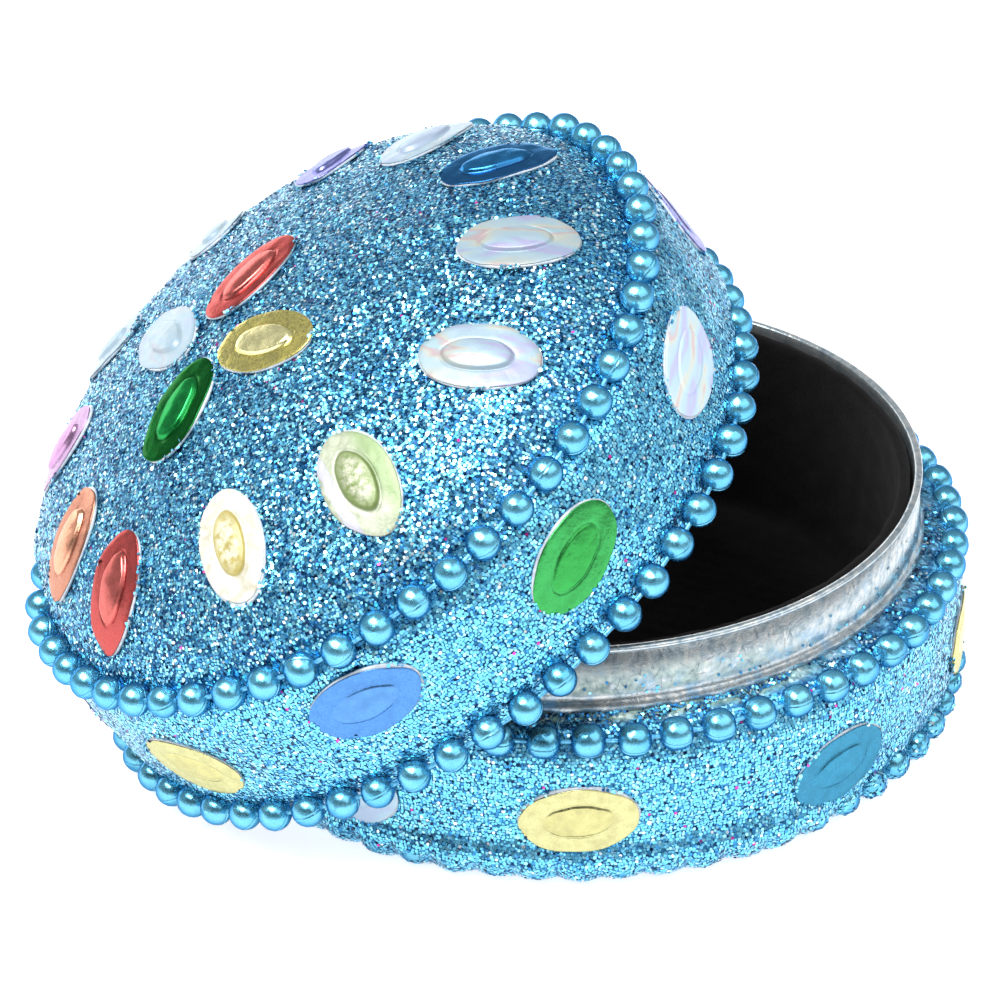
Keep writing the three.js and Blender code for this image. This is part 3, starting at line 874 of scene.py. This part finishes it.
def bead_flakes(name, centres, coverage):
    """Flakes stuck on the beads of a string, on the side that looks out."""
    points, normals = [], []
    for centre, share in zip(centres, coverage):
        count = int(FLAKES_ON_BEAD * share)
        if not count:
            continue
        d = unit(rng.normal(size=(count, 3)))
        out = radial(centre)
        flip = d @ out < -0.1
        d[flip] -= 2 * (d[flip] @ out)[:, None] * out
        points.append(centre + d * (BEAD_R + 0.02))
        normals.append(d)
    points, normals = np.vstack(points), np.vstack(normals)
    low = points[:, 2] > 0.12
    verts, faces = hexagons(points[low], normals[low], 0.165, 0.14)
    tints = tints_for(low.sum(), WALL_TINTS)
    make(name, verts, faces, [FLAKES], smooth=False, tints=tints)


def thread(beads):
    """A tube through the middles of a ring of beads: points and faces."""
    t = np.arange(len(beads) * LINKS) / LINKS
    near, far = beads[t.astype(int) % len(beads)], beads[(t.astype(int) + 1) % len(beads)]
    spine = near + (far - near) * (t % 1)[:, None]
    b = circle(THREAD_SIDES)[None, :, None]
    round_ = np.cos(b) * radial(spine)[:, None] + np.sin(b) * np.array([0, 0, 1.0])
    points = (spine[:, None] + THREAD_R * round_).reshape(-1, 3)
    return points, grid_faces(len(t), THREAD_SIDES, wrap_rows=True)


def make_string(name, radius, height, count, on_lid):
    """A ring of beads, each a little off its place and rolled at random, and the thread through them."""
    ball, ball_faces = bead_mesh()
    if name == "base_top_beads":
        ball[:, 0] = np.abs(ball[:, 0]) ** BARREL * np.sign(ball[:, 0])
    verts, faces, centres = [], [], []
    for i in range(count):
        a = 2 * math.pi * i / count + rng.normal(0, 0.0016)
        out = np.array([math.cos(a), math.sin(a), 0])
        along = np.array([-math.sin(a), math.cos(a), 0])
        roll = rng.normal(0.25, 0.5)
        up = np.array([0, 0, 1.0]) * math.cos(roll) + out * math.sin(roll)
        size = BEAD_R * rng.normal(0.985, 0.012)
        ring_r = radius - uneven(name, math.degrees(a)) + rng.normal(-0.02, 0.04)
        centre = out * ring_r + [0, 0, height + rng.normal(0, 0.04)]
        centres.append(centre)
        verts.append(centre + size * ball @ np.stack([along, np.cross(along, up), up]))
        faces.append(ball_faces + i * len(ball))
    points, tube_faces = thread(np.array(centres))
    picks = np.repeat([0, 1], [count * len(ball_faces), len(tube_faces)])
    obj = make(name + "_string", np.vstack([*verts, points]),
               np.vstack([*faces, tube_faces + count * len(ball)]), [BEAD, THREAD], on_lid, picks=picks)
    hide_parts(name)
    return centres


def make_foot_glitter(centres):
    """Glitter on the beads of the foot, thickest at the left and to the right of the front."""
    turns = [math.degrees(math.atan2(y, x)) for x, y, _ in centres]
    share = np.interp(turns, [-180, -160, -130, -66, -54, 0, 60, 180],
                      [0.6, 0.3, 0.1, 0.1, 0.5, 0.06, 0.2, 0.6])
    share = np.clip(share + rng.normal(0, 0.08, len(centres)), 0, 1)
    bead_flakes("base_foot_bead_glitter", centres, share)


# Sequins


LID_WALL_R = 33.9  # outside of the lid's wall at its rim
WALL_TAPER = 0.05
BASE_WALL_R = BASE_BEADS_R + 0.8
PLATE_SEGMENTS = 56
BOSS = 0.6  # share of the plate's length
BOSS_WIDTH = 0.8  # share of the width that an evenly shrunk boss would have
DOME_BOSS_RISE = 0.46
WALL_BOSS_RISE = 0.14
SPILLED = 60  # flakes over the edge of each plate


def wall_r(z, on_lid):
    """Radius of the coat's wall at a height."""
    return LID_WALL_R - WALL_TAPER * z if on_lid else BASE_WALL_R + 0 * z


def wall_patch(a0, z0, turn, on_lid):
    """A function from places on a plate to points and normals of the wall; turn is from upright."""
    def surface(x, y):
        z = z0 + x * np.cos(turn) - y * np.sin(turn)
        a = a0 + (x * np.sin(turn) + y * np.cos(turn)) / wall_r(z0, on_lid)
        return polar(wall_r(z, on_lid), a, z), polar(1, a, 0 * a)
    return surface


def dome_slope(r):
    """Rise of the dome for each step outward."""
    return (dome_rise(r + 0.01) - dome_rise(np.maximum(0, r - 0.01))) / 0.02


def dome_patch(a0, distance, turn):
    """The same on the dome; turn is from the outward direction, down the slope."""
    steep = 1 / np.hypot(1, dome_slope(distance))

    def surface(x, y):
        out = (x * np.cos(turn) - y * np.sin(turn)) * steep
        side = x * np.sin(turn) + y * np.cos(turn)
        px = (distance + out) * np.cos(a0) - side * np.sin(a0)
        py = (distance + out) * np.sin(a0) + side * np.cos(a0)
        r = np.maximum(np.hypot(px, py), 1e-6)
        s = dome_slope(r)
        n = unit(np.stack([-s * px / r, -s * py / r, 1 + 0 * r], -1))
        return np.stack([px, py, SHOULDER_Z + dome_rise(r)], -1), n
    return surface


def oval_faces(rows, segments, start):
    """Rings of quads, closed at both ends."""
    faces = (grid_faces(rows, segments) + start).tolist()
    faces.append(list(range(start, start + segments))[::-1])
    faces.append(list(range(start + (rows - 1) * segments, start + rows * segments)))
    return faces


def plate(surface, seed, rise):
    """Points, faces and tints of a sequin: a white plate and the foil on it, with its boss pressed up."""
    own = np.random.default_rng(seed)
    a = circle(PLATE_SEGMENTS)
    verts, faces, picks, tints = [], [], [], []

    def add(rho, height, slip, grow, rough, pick, wrinkle=0.0):
        ragged = sum(own.normal(0, 0.6) * np.sin(k * a + own.uniform(0, 6.3)) for k in range(2, 8))
        edge = 1 + rough * ragged
        pinch = 1 - (1 - BOSS_WIDTH) * np.clip((1 - rho) / (1 - BOSS), 0, 1)[:, None]
        u, v = rho[:, None] * np.cos(a), rho[:, None] * pinch * np.sin(a)
        x = slip[0] + (OVAL_LENGTH / 2 + grow) * u * edge
        y = slip[1] + (OVAL_WIDTH / 2 + grow) * v * edge
        base, n = surface(x, y)
        h = height[:, None] + wrinkle * waves(np.stack([x, y, 0 * x + seed], -1), 1.7, seed + 1)
        start = sum(len(p) for p in verts)
        verts.append((base + n * h[..., None]).reshape(-1, 3))
        new = oval_faces(len(rho), PLATE_SEGMENTS, start)
        faces.extend(new)
        picks.extend([pick] * len(new))
        on_boss = np.broadcast_to((rho < BOSS)[:, None] * 1.0, u.shape)
        inner = np.broadcast_to(1 - rho[:, None], u.shape)
        rows = np.stack([on_boss, (u + 1) / 2 + seed % 7, (v + 1) / 2 + seed % 5, inner], -1)
        tints.append(rows.reshape(-1, 4))

    add(np.array([0.01, 0.97, 1.0, 1.0, 0.97, 0.01]), np.array([0.03, 0.03, 0.07, 0.27, 0.31, 0.31]),
        (0, 0), -0.03, 0.006, 1)
    slip = own.normal(0, 0.08, 2)
    rho = np.array([1.0, 1.0, 0.985, 0.9, 0.8, 0.72, 0.67, 0.645, 0.625, 0.605, 0.585, 0.565, 0.54, 0.5,
                    0.44, 0.36, 0.26, 0.14, 0.01])
    wall = np.clip((BOSS + 0.005 - rho) / 0.06, 0, 1)
    crown = np.clip(1 - (rho / BOSS) ** 2, 0, 1)
    lift = rise * (0.55 * (3 * wall ** 2 - 2 * wall ** 3) + 0.45 * crown)
    groove = -0.06 * np.exp(-((rho - 0.625) / 0.016) ** 2)
    height = 0.42 + lift + groove
    height[0], height[1], height[2] = 0.32, 0.39, 0.415
    add(rho, height, slip, -0.1, 0.012, 0, 0.02)
    return np.vstack(verts), faces, picks, np.vstack(tints)


def spilled(surface, seed):
    """Flakes of the coat that lie over the edge of a plate, in a few heaps."""
    own = np.random.default_rng(seed)
    heaps = own.uniform(0, 2 * math.pi, 5)
    a = own.choice(heaps, SPILLED) + own.normal(0, 0.16, SPILLED)
    rho = 1.02 - np.minimum(np.abs(own.normal(0, 0.022, SPILLED)), 0.12)
    points, n = surface(rho * OVAL_LENGTH / 2 * np.cos(a), rho * OVAL_WIDTH / 2 * np.sin(a))
    h = np.where(rho > 0.995, own.uniform(0.1, 0.36, SPILLED), 0.45)
    return points + n * h[:, None], n


def on_dome(middle):
    """How far from the axis the dome is under a point, and its slope there."""
    reach = distance = math.hypot(middle[0], middle[1])
    gap = middle[2] - SHOULDER_Z - float(dome_rise(np.array(distance)))
    for _ in range(4):
        slope = float(dome_slope(np.array(distance)))
        distance = reach + slope * gap / (1 + slope ** 2)
    return distance, slope


def patch_under(name, on_lid):
    """The surface that a sequin's solid lies on, turned as the solid is."""
    points = node_points(name)
    if on_lid:
        points = world_to_lid(points)
    middle = points.mean(axis=0)
    long_way = np.linalg.svd(points - middle, full_matrices=False)[2][0]
    a0 = math.atan2(middle[1], middle[0])
    round_ = np.array([-math.sin(a0), math.cos(a0), 0])
    if not name.startswith("dome"):
        return wall_patch(a0, middle[2], math.atan2(long_way @ round_, long_way[2]), on_lid)
    distance, slope = on_dome(middle)
    downhill = np.array([math.cos(a0), math.sin(a0), slope]) / math.hypot(1, slope)
    return dome_patch(a0, distance, math.atan2(long_way @ round_, long_way @ downhill))


def make_sequins():
    """A plate in place of each sequin's solid, and flakes of the coat over the plates' edges."""
    slots = {part["node"]: part["material_slot"] for part in frame["record"]["subparts"]}
    names = sorted(n for n in frame["nodes"] if "sequin" in n or "petal" in n)
    spill = {True: [], False: []}
    for index, name in enumerate(names):
        on_lid = not name.startswith("base")
        on_wall = not name.startswith("dome")
        surface = patch_under(name, on_lid)
        rise = WALL_BOSS_RISE if on_wall else DOME_BOSS_RISE
        verts, faces, picks, tints = plate(surface, 100 + index, rise)
        key = slots[name]
        # the walls take the brighter copies of the pearl and white foils: painted light
        foil = LIT_WALL_FOIL[key] if on_wall and key in LIT_WALL_FOIL else FOIL[key]
        obj = make(name + "_foil", verts, faces, [foil, PLASTIC], on_lid, picks=picks, tints=tints)
        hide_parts(name)
        spill[on_lid].append(spilled(surface, 500 + index))
    for on_lid, parts in spill.items():
        points, normals = (np.vstack([part[k] for part in parts]) for k in (0, 1))
        verts, faces = hexagons(points, normals, 0.16, 0.35)
        name = "lid_sequin_edge_glitter" if on_lid else "base_sequin_edge_glitter"
        tints = tints_for(len(points), WALL_TINTS)
        make(name, verts, faces, [FLAKES], on_lid, smooth=False, tints=tints)


make_tins_and_linings()
make_fibres()
make_glue_dots()
make_glitter()
for string, settings in STRINGS.items():
    bead_centres = make_string(string, *settings)
    if string == "base_foot_beads":
        make_foot_glitter(bead_centres)
make_sequins()

# Floor, light and camera

FLOOR_REACH = 3.0  # metres from the middle to each side
ROOM = (0.40, 0.42, 0.44)
LOW_ROOM = (0.62, 0.64, 0.66)
CAMERA_SIDE = (0.0, 0.005, 0.01)
PICTURE = 1000  # pixels across
FOCAL_LENGTH = 4203.11  # pixels
SENSOR = 36  # millimetres
CAMERA_PLACE = (0, -0.32793, 0.2128)
CAMERA_TURN = (-1.1456, 30.742, -1.7306)  # yaw, pitch down and tip to the side, in degrees

scene = bpy.context.scene
scene.view_settings.view_transform = "Standard"


def make_floor():
    """A pale floor that glows a little, like a light table."""
    mesh = bpy.data.meshes.new("floor")
    corners = [(x * FLOOR_REACH, y * FLOOR_REACH, 0) for x, y in ((-1, -1), (1, -1), (1, 1), (-1, 1))]
    mesh.from_pydata(corners, [], [(0, 1, 2, 3)])
    mesh.materials.append(shader("pale_floor", srgb(200, 200, 202), 0.0, 0.9, Emission_Strength=0.85,
                                 Emission_Color=(0.96, 0.98, 1.0, 1.0))[0])
    obj = bpy.data.objects.new("floor", mesh)
    obj.location.z = -0.0001
    scene.collection.objects.link(obj)
    return obj


floor = make_floor()


def studio_world():
    """A pale room, lighter low down and dark in front, where the camera stands."""
    world = bpy.data.worlds.new("studio")
    world.use_nodes = True
    tree = world.node_tree
    _, y, height = axes(tree, "Generated")
    front = span(tree, y, -0.1, -0.6)
    band = product(tree, span(tree, height, 0.2, 0.32), span(tree, height, 0.76, 0.66))
    room = mix(tree, span(tree, height, 0.3, 0.1), ROOM, LOW_ROOM)
    room = mix(tree, product(tree, front, band), room, CAMERA_SIDE)
    tree.links.new(room, tree.nodes["Background"].inputs["Color"])
    return world


scene.world = studio_world()


def softbox(name, azimuth, elevation, distance, size, power, aim=(0, 0, 0.015)):
    """A rectangular lamp at a distance in metres, turned to the box."""
    light = bpy.data.lights.new(name, "AREA")
    light.shape = "RECTANGLE"
    light.size, light.size_y = size
    light.energy = power
    obj = bpy.data.objects.new(name, light)
    a, e = math.radians(azimuth), math.radians(elevation)
    obj.location = (distance * math.cos(e) * math.cos(a), distance * math.cos(e) * math.sin(a),
                    distance * math.sin(e))
    obj.rotation_euler = (Vector(aim) - obj.location).to_track_quat("-Z", "Y").to_euler()
    scene.collection.objects.link(obj)


softbox("key", -138, 66, 0.8, (0.6, 0.45), 13.5)
softbox("fill", -30, 48, 0.9, (1.1, 0.7), 4.5)
softbox("backdrop", 115, 5, 1.1, (1.4, 0.3), 4.0)


def make_camera():
    """The photo's camera, by its place, its turn and its focal length."""
    data = bpy.data.cameras.new("camera")
    data.sensor_width = SENSOR
    data.sensor_fit = "HORIZONTAL"
    data.lens = FOCAL_LENGTH / PICTURE * SENSOR
    obj = bpy.data.objects.new("camera", data)
    scene.collection.objects.link(obj)
    yaw, pitch, tip = (math.radians(v) for v in CAMERA_TURN)
    forward = Vector((math.sin(yaw) * math.cos(pitch), math.cos(yaw) * math.cos(pitch), -math.sin(pitch)))
    level = Vector((math.cos(yaw), -math.sin(yaw), 0))
    upright = level.cross(forward)
    right = math.cos(tip) * level + math.sin(tip) * upright
    up = math.cos(tip) * upright - math.sin(tip) * level
    turn = Matrix((right, up, -forward)).transposed().to_4x4()
    obj.matrix_world = Matrix.Translation(CAMERA_PLACE) @ turn
    return obj


scene.camera = make_camera()
